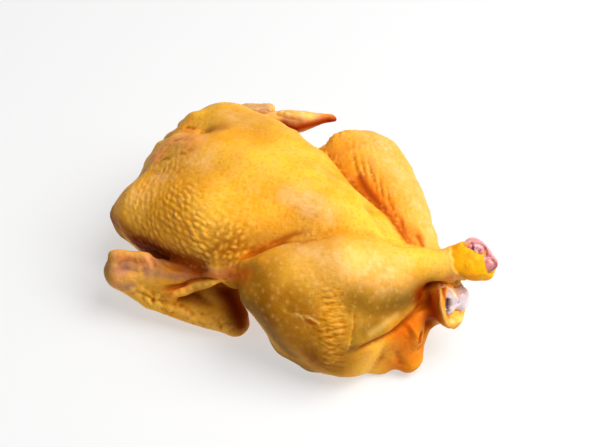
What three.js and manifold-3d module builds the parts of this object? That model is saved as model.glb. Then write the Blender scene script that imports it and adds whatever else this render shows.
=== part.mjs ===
// A whole raw chicken, oven ready, lying on its back with the breast up and the hocks crossed over the tail.
// Millimetres, +Z up. +X runs from the neck end to the tail, and +Y is the bird's left side.
//
// The carcass is one skin over flesh, so it is one solid. It is first described as a field, a function of a point
// that is negative inside the flesh and close to a distance near the skin. Ellipsoids, limbs and sheets of skin are
// melted together in it: with a wide blend where muscle runs into muscle, a narrow one where skin only folds.
// The field is then skinned with triangles, and the flat stretches are thinned out. At each hock the shank was cut
// off at the joint, so the gristly end of the leg bone shows: it is a solid of its own in a seat in the carcass.

import * as THREE from "three";
import { mergeVertices } from "three/addons/utils/BufferGeometryUtils.js";
import Module from "manifold-3d";

const V = (x, y, z) => new THREE.Vector3(x, y, z);

// ---------------------------------------------------------------- driving dimensions

const BACK_FLAT = 3; // the back sags on the table: its round is pressed flat up to this height
const KEEL = { front: V(-66, 0, 70), crest: V(-30, 0, 80), middle: V(30, 5, 79), rear: V(82, 6, 57) };
const CHEST = { centre: V(-38, 0, 46), radii: V(76, 59, 45) };
const BELLY = { centre: V(60, -4, 38), radii: V(54, 42, 36) };
const TAIL_TIP = V(117, -24, 10);

// The joints of the two sides. The right side is slacker, and its hock lies over the left one.
const RIGHT = {
  hip: V(70, -40, 36), knee: V(34, -51, 52), calf: V(66, -26, 68), shin: V(98, 0, 74), hock: V(113, 10, 73),
  shoulder: V(-84, -46, 40), elbow: V(3, -64, 13), wrist: V(-77, -90, 36), wingTip: V(3, -58, 57),
};
const LEFT = {
  hip: V(58, 46, 33), knee: V(4, 84, 48), calf: V(44, 60, 56), shin: V(94, 28, 52), hock: V(117, 14, 48),
  shoulder: V(-84, 46, 42), elbow: V(-4, 68, 14), wrist: V(-97, 81, 43), wingTip: V(-40, 110, 51),
};

const FLAT_AT = BACK_FLAT + 0.6; // where the blend of the pressed flat has run out
const GAP = 0.7; // between a bone end and the skin round it

const MUSCLE = 22; // blend where one muscle runs into the next
const LIMB = 14; // blend inside a leg
const SKIN = 6; // blend where skin folds between a limb and the trunk
const CREASE = 3; // blend at a tight fold

const SKIN_COLOUR = 0xe9a83a;
const PINK_COLOUR = 0xd98a80;
const GRISTLE_COLOUR = 0xe6dfe6;

const ROOM = { low: V(-130, -120, -6), high: V(160, 130, 130) }; // the box that the carcass is skinned in
const CARCASS_STEP = 2.4; // grid that the carcass is skinned on
const BONE_ROOM = 24; // half the side of the cube that a bone end is skinned in
const BONE_STEP = 1.4;
const CARCASS_TRIANGLES = 11800;
const BONE_TRIANGLES = 500;
const EVENNESS = 0.002; // how much the thinning dislikes long edges

// ---------------------------------------------------------------- field tools

const smoothMin = (a, b, blend) => {
  const h = Math.max(blend - Math.abs(a - b), 0) / blend;
  return Math.min(a, b) - (h * h * h * blend) / 6;
};
const smoothMax = (a, b, blend) => -smoothMin(-a, -b, blend);

const melt = (blend, ...parts) => (p) => parts.slice(1).reduce((f, part) => smoothMin(f, part(p), blend), parts[0](p));
const carve = (blend, body, tool) => (p) => smoothMax(body(p), -tool(p), blend);
const swell = (body, by) => (p) => body(p) - by;

function ellipsoid(centre, radii) {
  const q = V(0, 0, 0);
  return (p) => {
    const near = q.copy(p).sub(centre).divide(radii).length();
    const far = q.divide(radii).length();
    return far > 1e-9 ? (near * (near - 1)) / far : -Math.min(radii.x, radii.y, radii.z);
  };
}

// A limb: a run of points, each with its radius, and thinner by `flat` along `across`.
function limb(points, radii, across = V(0, 0, 1), flat = 1) {
  const run = V(0, 0, 0);
  const off = V(0, 0, 0);
  const squeeze = 1 / flat ** 2 - 1;
  return (p) => {
    let nearest = Infinity;
    for (let i = 0; i + 1 < points.length; i++) {
      run.copy(points[i + 1]).sub(points[i]);
      off.copy(p).sub(points[i]);
      const t = THREE.MathUtils.clamp(off.dot(run) / run.lengthSq(), 0, 1);
      off.addScaledVector(run, -t);
      const radius = THREE.MathUtils.lerp(radii[i], radii[i + 1], t * t * (3 - 2 * t));
      const distance = Math.sqrt(off.lengthSq() + squeeze * off.dot(across) ** 2) - radius;
      nearest = Math.min(nearest, distance * (0.5 + 0.5 * flat));
    }
    return nearest;
  };
}

// A web: skin or thin muscle stretched over three points, with a rounded rim.
function web(a, b, c, radius) {
  const sheet = new THREE.Triangle(a, b, c);
  const q = V(0, 0, 0);
  return (p) => sheet.closestPointToPoint(p, q).distanceTo(p) - radius;
}

// Everything on one side of a plane, where `out` points away from what is kept.
const halfSpace = (point, out) => {
  const normal = out.clone().normalize();
  const offset = normal.dot(point);
  return (p) => normal.dot(p) - offset;
};
const cutOff = (blend, body, point, out) => (p) => smoothMax(body(p), halfSpace(point, out)(p), blend);

// ---------------------------------------------------------------- trunk

// The breast is two long muscles that run back from the shoulders and narrow along the keel.
const breast = melt(
  MUSCLE,
  ellipsoid(CHEST.centre, CHEST.radii),
  limb([V(-85, -43, 49), V(-34, -33, 61), V(40, -14, 58)], [27, 35, 24]),
  limb([V(-77, 32, 62), V(-32, 28, 63), V(50, 14, 60)], [31, 34, 20]),
  limb([KEEL.front, KEEL.crest, KEEL.middle, KEEL.rear], [27, 24, 21, 16]),
  limb([V(-86, -6, 57), V(-60, 0, 66)], [26, 30]),
  ellipsoid(BELLY.centre, BELLY.radii),
);

// Where the neck was, a hollow runs down between the two breast muscles, and the slack neck skin lies in it in folds.
const neckHollow = limb([V(-74, 9, 99), V(-92, 8, 94), V(-116, 5, 82)], [5, 8, 9]);
const neckFolds = melt(
  CREASE,
  limb([V(-84, 3, 85), V(-97, 0, 80), V(-109, -3, 69), V(-113, -8, 57), V(-109, -14, 46)], [4, 6, 6, 6, 5]),
  limb([V(-86, 13, 84), V(-99, 11, 78), V(-110, 10, 66), V(-112, 12, 52)], [3.5, 5, 5.5, 5]),
  limb([V(-95, 24, 84), V(-106, 22, 72)], [5, 6]),
);
const neckPit = limb([V(-86, 12, 93), V(-78, 9, 90)], [2.5, 4.5]);

const rump = melt(
  10,
  ellipsoid(V(87, -12, 29), V(31, 30, 27)),
  limb([V(80, -38, 15), V(99, -27, 13), V(112, -20, 13)], [14, 13, 10]),
  limb([V(104, -20, 20), TAIL_TIP], [13, 7]),
);

// The vent: a slit between two folds of skin over the tail, under the hocks.
const ventFolds = melt(
  CREASE,
  limb([V(100, -14, 46), V(112, -12, 42), V(117, -18, 30)], [8, 7, 5]),
  limb([V(108, 0, 42), V(118, -2, 36), V(119, -8, 25)], [8, 5, 4]),
);
const vent = limb([V(117, -6, 42), V(123, -13, 28)], [3, 2.6]);

// ---------------------------------------------------------------- legs

const rightLeg = melt(
  LIMB,
  limb([RIGHT.hip, RIGHT.knee], [34, 27]),
  limb([V(72, -36, 26), V(46, -50, 33)], [28, 28]),
  limb([RIGHT.knee, RIGHT.calf, RIGHT.shin, RIGHT.hock], [28, 25, 13, 10]),
  web(V(36, -46, 56), V(70, -40, 44), V(88, -12, 66), 20),
  web(V(100, -10, 62), V(92, -30, 44), V(66, -34, 58), 10),
  web(V(92, -30, 44), V(76, -44, 28), V(58, -42, 44), 11),
  web(V(26, -50, 60), V(2, -46, 62), V(34, -38, 68), 5),
);
const leftLeg = melt(
  LIMB,
  limb([LEFT.hip, LEFT.knee], [33, 25]),
  limb([LEFT.knee, LEFT.calf, LEFT.shin, LEFT.hock], [25, 20, 13, 12]),
  web(V(8, 78, 50), V(56, 46, 38), V(78, 40, 50), 17),
  web(V(-4, 84, 56), V(-28, 56, 54), V(10, 56, 54), 8),
);

// ---------------------------------------------------------------- hocks

// The frame of a hock: `out` points along the bone, `up` across it, and the third direction is square to both.
function frameAt(centre, out, up) {
  const n = out.clone().normalize();
  const u = up.clone().addScaledVector(n, -up.dot(n)).normalize();
  const s = u.clone().cross(n);
  const place = (outwards, upwards, sideways) =>
    centre.clone().addScaledVector(n, outwards).addScaledVector(u, upwards).addScaledVector(s, sideways);
  return { n, place };
}

// The right hock: the shank was pulled off, which left a knob of tendon and fat with two pink lobes of gristle.
const rightEnd = frameAt(V(129, 25, 73), V(0.79, 0.6, 0.08), V(-0.41, 0.56, 0.72));
const rightHock = {
  centre: rightEnd.place(0, 0, 0),
  bone: melt(
    CREASE,
    limb([rightEnd.place(-4, 1, 0), rightEnd.place(6, 4, 0)], [6, 9.5]),
    limb([rightEnd.place(2, 9.5, -3), rightEnd.place(4.5, 9.5, 3)], [7, 6.5]),
    limb([rightEnd.place(11.5, -1, -3), rightEnd.place(11, 1, 3)], [7, 6.5]),
  ),
  skin: melt(
    CREASE + 1,
    limb([RIGHT.hock, rightEnd.place(-2, 0, 0), rightEnd.place(5, -1, 0)], [9.5, 14, 12.5]),
    limb([rightEnd.place(2, -8, 0), rightEnd.place(9, -9, 0)], [7, 6]),
  ),
};

// The left hock: the sleeve of skin is cut square, and the two heads of the bone stand in it side by side with a
// groove between them, over a pad of fat.
const leftEnd = frameAt(V(129, 9, 48), V(0.924, 0.14, 0.346), V(-0.41, 0.56, 0.72));
const leftSleeve = limb([LEFT.hock, leftEnd.place(-9, 0, 0), leftEnd.place(6, -1, 0)], [12, 16, 17.5]);
const leftDish = ellipsoid(leftEnd.place(4, 1, 0), V(13, 13, 13));
const leftFat = limb([leftEnd.place(-6, -9, -2), leftEnd.place(-2, -10, 2)], [7, 6]);
const leftHock = {
  centre: leftEnd.place(0, 0, 0),
  bone: melt(
    2,
    limb([leftEnd.place(-8, 3, 0), leftEnd.place(-5, 3, 0)], [8, 8]),
    limb([leftEnd.place(-3, -2, -6), leftEnd.place(-1.5, 4, -5), leftEnd.place(-3, 9, -7)], [5, 5.5, 4.5]),
    limb([leftEnd.place(0, 1, 5.5), leftEnd.place(0, 5, 5.5)], [6, 6]),
  ),
  skin: melt(CREASE, carve(2.5, cutOff(2.5, leftSleeve, leftEnd.place(0.5, 0, 0), leftEnd.n), leftDish), leftFat),
};

// ---------------------------------------------------------------- wings

// A wing folds in three: the upper arm lies back along the flank, the forearm comes forward again beside it,
// and the flat hand lies back over the forearm, with the thumb above the wrist.
const acrossRight = V(0, -0.6, 0.8);
const rightWing = melt(
  CREASE + 1,
  limb([RIGHT.shoulder, V(-40, -50, 24), RIGHT.elbow], [20, 15, 9]),
  limb([RIGHT.elbow, V(-22, -76, 17), V(-52, -87, 24), RIGHT.wrist], [9, 7, 7, 10]),
  web(V(-2, -64, 13), V(-74, -56, 28), V(-66, -84, 30), 5),
  limb([RIGHT.wrist, V(-52, -81, 42), V(-24, -69, 49), RIGHT.wingTip], [13, 10, 7, 3.5], acrossRight, 0.66),
  limb([V(-34, -84, 34), V(-22, -75, 41), V(-6, -64, 50)], [4, 3.2, 3]),
  web(V(-70, -88, 34), V(-34, -83, 32), V(-40, -74, 42), 4),
);
const rightThumb = limb([V(-83, -86, 44), V(-59, -79, 52)], [7, 4.5]);

const acrossLeft = V(0, 0.6, 0.8);
const leftWing = melt(
  CREASE + 1,
  limb([LEFT.shoulder, V(-40, 56, 26), LEFT.elbow], [20, 15, 10]),
  limb([LEFT.elbow, V(-50, 80, 27), LEFT.wrist], [10, 9, 11]),
  web(V(-12, 66, 16), V(-76, 56, 30), V(-82, 78, 36), 5),
  limb([LEFT.wrist, V(-61, 92, 50), LEFT.wingTip], [14, 10, 4], acrossLeft, 0.66),
);
const leftThumb = limb([V(-98, 84, 50), V(-84, 93, 53)], [6, 4.5]);

// ---------------------------------------------------------------- the whole carcass

const flesh = (p) => {
  let f = smoothMax(breast(p), -neckHollow(p), LIMB);
  f = smoothMin(f, neckFolds(p), SKIN);
  f = smoothMax(f, -neckPit(p), SKIN);
  f = smoothMin(f, rump(p), LIMB);
  f = smoothMin(f, ventFolds(p), SKIN);
  f = smoothMax(f, -vent(p), CREASE);
  f = smoothMin(f, smoothMin(rightLeg(p), rightHock.skin(p), CREASE), CREASE + 1);
  f = smoothMin(f, smoothMin(leftLeg(p), leftHock.skin(p), CREASE), SKIN);
  f = smoothMin(f, smoothMin(rightWing(p), rightThumb(p), CREASE), CREASE);
  f = smoothMin(f, smoothMin(leftWing(p), leftThumb(p), CREASE), CREASE);
  return smoothMax(f, BACK_FLAT - p.z, CREASE);
};

// ---------------------------------------------------------------- from field to triangles

// Surface nets: one point in each grid cell that the skin crosses, and one square across each crossed grid edge.
function skinOver(field, low, high, step) {
  const size = high.clone().sub(low).divideScalar(step).ceil().addScalar(1);
  const at = (i, j, k) => (k * size.y + j) * size.x + i;
  const value = new Float32Array(size.x * size.y * size.z);
  const p = V(0, 0, 0);
  for (let k = 0; k < size.z; k++)
    for (let j = 0; j < size.y; j++)
      for (let i = 0; i < size.x; i++) value[at(i, j, k)] = field(p.set(i, j, k).multiplyScalar(step).add(low));

  // The twelve edges of a cell, each as its two corners.
  const edges = [];
  for (const axis of [0, 1, 2])
    for (const [a, b] of [[0, 0], [0, 1], [1, 0], [1, 1]]) {
      const start = [0, 0, 0];
      start[(axis + 1) % 3] = a;
      start[(axis + 2) % 3] = b;
      const end = start.map((s, m) => (m === axis ? 1 : s));
      edges.push([start, end]);
    }

  const pointOfCell = new Int32Array(value.length).fill(-1);
  const position = [];
  for (let k = 0; k + 1 < size.z; k++)
    for (let j = 0; j + 1 < size.y; j++)
      for (let i = 0; i + 1 < size.x; i++) {
        const sum = V(0, 0, 0);
        let crossings = 0;
        for (const [start, end] of edges) {
          const f0 = value[at(i + start[0], j + start[1], k + start[2])];
          const f1 = value[at(i + end[0], j + end[1], k + end[2])];
          if (f0 < 0 === f1 < 0) continue;
          sum.add(V(...start).lerp(V(...end), f0 / (f0 - f1)));
          crossings++;
        }
        if (crossings === 0) continue;
        pointOfCell[at(i, j, k)] = position.length / 3;
        position.push(...sum.divideScalar(crossings).add(V(i, j, k)).multiplyScalar(step).add(low));
      }

  const index = [];
  for (let k = 1; k + 1 < size.z; k++)
    for (let j = 1; j + 1 < size.y; j++)
      for (let i = 1; i + 1 < size.x; i++)
        for (const axis of [0, 1, 2]) {
          const here = [i, j, k];
          const next = here.map((c, m) => (m === axis ? c + 1 : c));
          const inside = value[at(...here)] < 0;
          if (inside === value[at(...next)] < 0) continue;
          const [a, b, c, d] = [[1, 1], [0, 1], [0, 0], [1, 0]].map(([du, dv]) => {
            const cell = [...here];
            cell[(axis + 1) % 3] -= du;
            cell[(axis + 2) % 3] -= dv;
            return pointOfCell[at(...cell)];
          });
          index.push(...(inside ? [a, b, c, a, c, d] : [a, c, b, a, d, c]));
        }
  return { position, index };
}

// A queue that gives the cheapest entry first.
class Queue {
  entries = [];
  cheaper(i, j) {
    return this.entries[i].cost < this.entries[j].cost;
  }
  swap(i, j) {
    [this.entries[i], this.entries[j]] = [this.entries[j], this.entries[i]];
  }
  push(entry) {
    let i = this.entries.push(entry) - 1;
    while (i > 0 && this.cheaper(i, (i - 1) >> 1)) {
      this.swap(i, (i - 1) >> 1);
      i = (i - 1) >> 1;
    }
  }
  pop() {
    const top = this.entries[0];
    const last = this.entries.pop();
    if (this.entries.length === 0) return top;
    this.entries[0] = last;
    let i = 0;
    while (true) {
      let low = i;
      for (const child of [2 * i + 1, 2 * i + 2])
        if (child < this.entries.length && this.cheaper(child, low)) low = child;
      if (low === i) return top;
      this.swap(i, low);
      i = low;
    }
  }
}

// Thins a closed skin to `target` triangles: the edge whose loss changes the form least goes first. The change is
// the quadric error: the sum of squared distances to the planes of the triangles that met there.
function thin(net, target) {
  const at = Float64Array.from(net.position);
  const count = at.length / 3;
  const point = (v) => V(at[3 * v], at[3 * v + 1], at[3 * v + 2]);
  const faces = [];
  const around = Array.from({ length: count }, () => new Set());
  for (let i = 0; i < net.index.length; i += 3) {
    const face = net.index.slice(i, i + 3);
    for (const v of face) around[v].add(faces.length);
    faces.push(face);
  }
  const ring = (v) => new Set([...around[v]].flatMap((f) => faces[f]).filter((w) => w !== v));
  const normalOf = (a, b, c) => b.clone().sub(a).cross(c.clone().sub(a));

  // Each point's quadric is a symmetric matrix, kept as xx xy xz xw yy yz yw zz zw ww.
  const quadric = Array.from({ length: count }, () => new Float64Array(10));
  for (const face of faces) {
    const corners = face.map(point);
    const n = normalOf(...corners);
    const area = n.length() || 1e-9;
    n.divideScalar(area);
    const w = -n.dot(corners[0]);
    const q = [n.x * n.x, n.x * n.y, n.x * n.z, n.x * w, n.y * n.y, n.y * n.z, n.y * w, n.z * n.z, n.z * w, w * w];
    for (const v of face) q.forEach((value, m) => (quadric[v][m] += value * area));
  }
  const error = (q, { x, y, z }) =>
    x * (q[0] * x + 2 * (q[1] * y + q[2] * z + q[3])) +
    y * (q[4] * y + 2 * (q[5] * z + q[6])) +
    z * (q[7] * z + 2 * q[8]) +
    q[9];

  const queue = new Queue();
  const version = new Int32Array(count);
  const offer = (u, v) => {
    const q = quadric[u].map((value, m) => value + quadric[v][m]);
    const middle = point(u).lerp(point(v), 0.5);
    const length = point(u).distanceToSquared(point(v));
    const planes = new THREE.Matrix3().set(q[0], q[1], q[2], q[1], q[4], q[5], q[2], q[5], q[7]);
    let place = middle;
    if (Math.abs(planes.determinant()) > 1e-3 * (q[0] + q[4] + q[7]) ** 3) {
      const best = V(-q[3], -q[6], -q[8]).applyMatrix3(planes.invert());
      if (best.distanceToSquared(middle) < length) place = best;
    }
    const cost = Math.max(error(q, place), 0) + EVENNESS * length * length;
    queue.push({ u, v, place, cost, versions: [version[u], version[v]] });
  };
  const keepsFacing = (v, other, place) =>
    [...around[v]].every((f) => {
      if (faces[f].includes(other)) return true;
      const before = faces[f].map(point);
      const after = before.map((q, i) => (faces[f][i] === v ? place : q));
      const n0 = normalOf(...before);
      const n1 = normalOf(...after);
      return n0.dot(n1) > 0.3 * n0.length() * n1.length();
    });

  for (const [a, b, c] of faces)
    for (const [u, v] of [[a, b], [b, c], [c, a]])
      if (u < v) offer(u, v);
  let left = faces.length;
  while (left > target) {
    const { u, v, place, versions } = queue.pop();
    if (versions[0] !== version[u] || versions[1] !== version[v]) continue;
    const ringOfU = ring(u);
    const shared = [...ring(v)].filter((w) => ringOfU.has(w));
    if (shared.length !== 2 || !keepsFacing(u, v, place) || !keepsFacing(v, u, place)) continue;
    for (const f of [...around[v]])
      if (faces[f].includes(u)) {
        for (const w of faces[f]) around[w].delete(f);
        faces[f] = null;
        left--;
      } else {
        faces[f] = faces[f].map((w) => (w === v ? u : w));
        around[u].add(f);
      }
    at.set([...place], 3 * u);
    quadric[v].forEach((value, m) => (quadric[u][m] += value));
    version[u]++;
    version[v] = -1;
    for (const w of ring(u)) offer(u, w);
  }

  const number = new Map();
  const position = [];
  const index = [];
  for (const v of faces.filter(Boolean).flat()) {
    if (!number.has(v)) {
      number.set(v, number.size);
      position.push(...point(v));
    }
    index.push(number.get(v));
  }
  return { position, index };
}

// ---------------------------------------------------------------- solids

const solids = await Module();
solids.setup();

function solidOf({ position, index }) {
  const vertProperties = Float32Array.from(position);
  const triVerts = Uint32Array.from(index);
  return new solids.Manifold(new solids.Mesh({ numProp: 3, vertProperties, triVerts }));
}

function solidOfGeometry(geometry) {
  geometry.deleteAttribute("normal");
  geometry.deleteAttribute("uv");
  const merged = mergeVertices(geometry, 1e-4);
  return solidOf({ position: merged.attributes.position.array, index: merged.index.array });
}

function skinOverBone({ centre, bone }, gap) {
  const low = centre.clone().subScalar(BONE_ROOM);
  const high = centre.clone().addScalar(BONE_ROOM);
  return thin(skinOver(swell(bone, gap), low, high, BONE_STEP), BONE_TRIANGLES);
}

// The table is a block whose top lies at the pressed flat, and everything in it is cut away.
const TABLE_SIDE = 400;
const TABLE_DEPTH = 20;
const table = new THREE.BoxGeometry(TABLE_SIDE, TABLE_SIDE, TABLE_DEPTH).translate(0, 0, FLAT_AT - TABLE_DEPTH / 2);
const carcassSolid = [rightHock, leftHock].reduce(
  (solid, hockEnd) => solid.subtract(solidOf(skinOverBone(hockEnd, GAP))),
  solidOf(skinOver(flesh, ROOM.low, ROOM.high, CARCASS_STEP)).subtract(solidOfGeometry(table)),
);
const { vertProperties, triVerts } = carcassSolid.getMesh();
const carcassSkin = thin({ position: Array.from(vertProperties), index: Array.from(triVerts) }, CARCASS_TRIANGLES);

// Thinning leaves the pressed flat a few hundredths of a millimetre uneven, so its points are set level again.
const LEVEL_WITHIN = 0.1;
for (let z = 2; z < carcassSkin.position.length; z += 3)
  if (carcassSkin.position[z] < FLAT_AT + LEVEL_WITHIN) carcassSkin.position[z] = FLAT_AT;

// The origin is the bottom centre of the box round the carcass.
const { min, max } = solidOf(carcassSkin).boundingBox();
const ORIGIN = V((min[0] + max[0]) / 2, (min[1] + max[1]) / 2, min[2]);

function meshOf(name, { position, index }, color, roughness) {
  const geometry = new THREE.BufferGeometry();
  geometry.setAttribute("position", new THREE.Float32BufferAttribute(position, 3));
  geometry.setIndex(index);
  geometry.translate(-ORIGIN.x, -ORIGIN.y, -ORIGIN.z);
  const mesh = new THREE.Mesh(geometry, new THREE.MeshStandardMaterial({ color, roughness }));
  mesh.name = name;
  return mesh;
}

const chicken = new THREE.Group();
chicken.name = "whole_raw_chicken";
chicken.add(meshOf("carcass", carcassSkin, SKIN_COLOUR, 0.5));
chicken.add(meshOf("right_hock_joint", skinOverBone(rightHock, 0), PINK_COLOUR, 0.35));
chicken.add(meshOf("left_hock_joint", skinOverBone(leftHock, 0), GRISTLE_COLOUR, 0.3));

export default chicken;
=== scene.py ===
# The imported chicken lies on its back, breast up, with its neck end at -X and its hocks at +X, and every
# piece of skin and gristle is laid on it. Its box, in metres, is the size that the finished bird keeps to.
import math

import bpy
import numpy as np
from mathutils import Matrix, Vector
from mathutils.bvhtree import BVHTree
from mathutils.kdtree import KDTree


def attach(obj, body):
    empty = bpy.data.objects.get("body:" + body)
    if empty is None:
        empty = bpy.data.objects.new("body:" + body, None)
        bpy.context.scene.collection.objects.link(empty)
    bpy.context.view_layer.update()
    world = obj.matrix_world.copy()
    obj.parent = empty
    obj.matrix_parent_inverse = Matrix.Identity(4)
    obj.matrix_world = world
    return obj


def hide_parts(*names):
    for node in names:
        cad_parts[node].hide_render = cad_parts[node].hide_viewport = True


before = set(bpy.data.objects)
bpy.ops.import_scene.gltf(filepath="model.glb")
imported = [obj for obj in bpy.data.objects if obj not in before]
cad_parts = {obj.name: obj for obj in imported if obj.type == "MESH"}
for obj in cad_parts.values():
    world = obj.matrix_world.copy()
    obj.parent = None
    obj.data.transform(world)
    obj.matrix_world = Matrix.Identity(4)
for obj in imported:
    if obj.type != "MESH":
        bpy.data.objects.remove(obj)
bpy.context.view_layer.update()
bpy.ops.object.select_all(action="DESELECT")


# The camera looks down on the bird's right side from beyond its breast, with the neck end to the left and
# the crossed hocks to the right, through a long lens. MM turns a size in millimetres into metres.
MM = 0.001
CAMERA_TARGET = Vector((-13.8, 6.2, 41.4)) * MM
CAMERA_AZIMUTH = math.radians(36.0)
CAMERA_ELEVATION = math.radians(44.0)
CAMERA_DISTANCE = 1.1
CAMERA_LENS = 96.34
CAMERA_SENSOR = 36.0

camera_back = Vector((
    math.cos(CAMERA_ELEVATION) * math.sin(CAMERA_AZIMUTH),
    -math.cos(CAMERA_ELEVATION) * math.cos(CAMERA_AZIMUTH),
    math.sin(CAMERA_ELEVATION),
))
camera_right = Vector((math.cos(CAMERA_AZIMUTH), math.sin(CAMERA_AZIMUTH), 0.0))
camera_up = camera_back.cross(camera_right)
bpy.ops.object.camera_add(location=CAMERA_TARGET + camera_back * CAMERA_DISTANCE)
camera = bpy.context.object
camera.name = "camera"
camera.rotation_euler = Matrix((camera_right, camera_up, camera_back)).transposed().to_euler()
camera.data.lens = CAMERA_LENS
camera.data.sensor_width = CAMERA_SENSOR
camera.data.clip_start = 0.05
camera.data.clip_end = 20.0
bpy.context.scene.camera = camera


# The skin is one yellow sheet, still wet, drawn over the breast, the legs, the rump and both folded wings.
# It starts from the carcass, remeshed finely, and its folds and feather follicles are then raised on it.
SKIN_VOXEL = 0.8 * MM
SKIN_TRIANGLES = 196000
MERGE_GAP = 0.001 * MM
FOLD_REACH = 2.5  # a fold is followed out to this many times its width
FACING_GAIN = 1.5  # how soon skin that turns away from a fold is left as it is
KEPT_SHARE = 0.3  # when skin is evened, a point keeps this share of its own place
DRAWN_SHARE = 0.7  # and takes this share of its neighbours' mean place


def piece_from(node, name, voxel, cuts, rounds):
    """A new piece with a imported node's shape: cut finer, rounded, remeshed evenly and smoothed."""
    piece = bpy.data.objects.new(name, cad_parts[node].data.copy())
    piece.data.materials.clear()
    bpy.context.scene.collection.objects.link(piece)
    bpy.ops.object.select_all(action="DESELECT")
    piece.select_set(True)
    bpy.context.view_layer.objects.active = piece
    bpy.ops.object.mode_set(mode="EDIT")
    bpy.ops.mesh.select_all(action="SELECT")
    bpy.ops.mesh.remove_doubles(threshold=MERGE_GAP)
    bpy.ops.mesh.subdivide(number_cuts=cuts, smoothness=1.0)
    bpy.ops.object.mode_set(mode="OBJECT")
    even = piece.modifiers.new("even", "REMESH")
    even.mode = "VOXEL"
    even.voxel_size = voxel
    bpy.ops.object.modifier_apply(modifier=even.name)
    soft = piece.modifiers.new("soft", "SMOOTH")
    soft.factor = 0.5
    soft.iterations = rounds
    bpy.ops.object.modifier_apply(modifier=soft.name)
    return piece


def wander(places, size, seed, count=14):
    """Smooth random swells between about -1 and 1, of that size in millimetres, made of so many waves."""
    draw = np.random.default_rng(seed)
    waves = draw.normal(size=(count, 3))
    waves *= (2 * np.pi / size * draw.uniform(0.6, 1.5, (count, 1))
              / np.linalg.norm(waves, axis=1, keepdims=True))
    return np.sin(places @ waves.T + draw.uniform(0, 2 * np.pi, count)).sum(1) / count ** 0.5


def eased(share):
    """A share from 0 to 1 that starts and ends gently."""
    return share * share * (3 - 2 * share)


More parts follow.
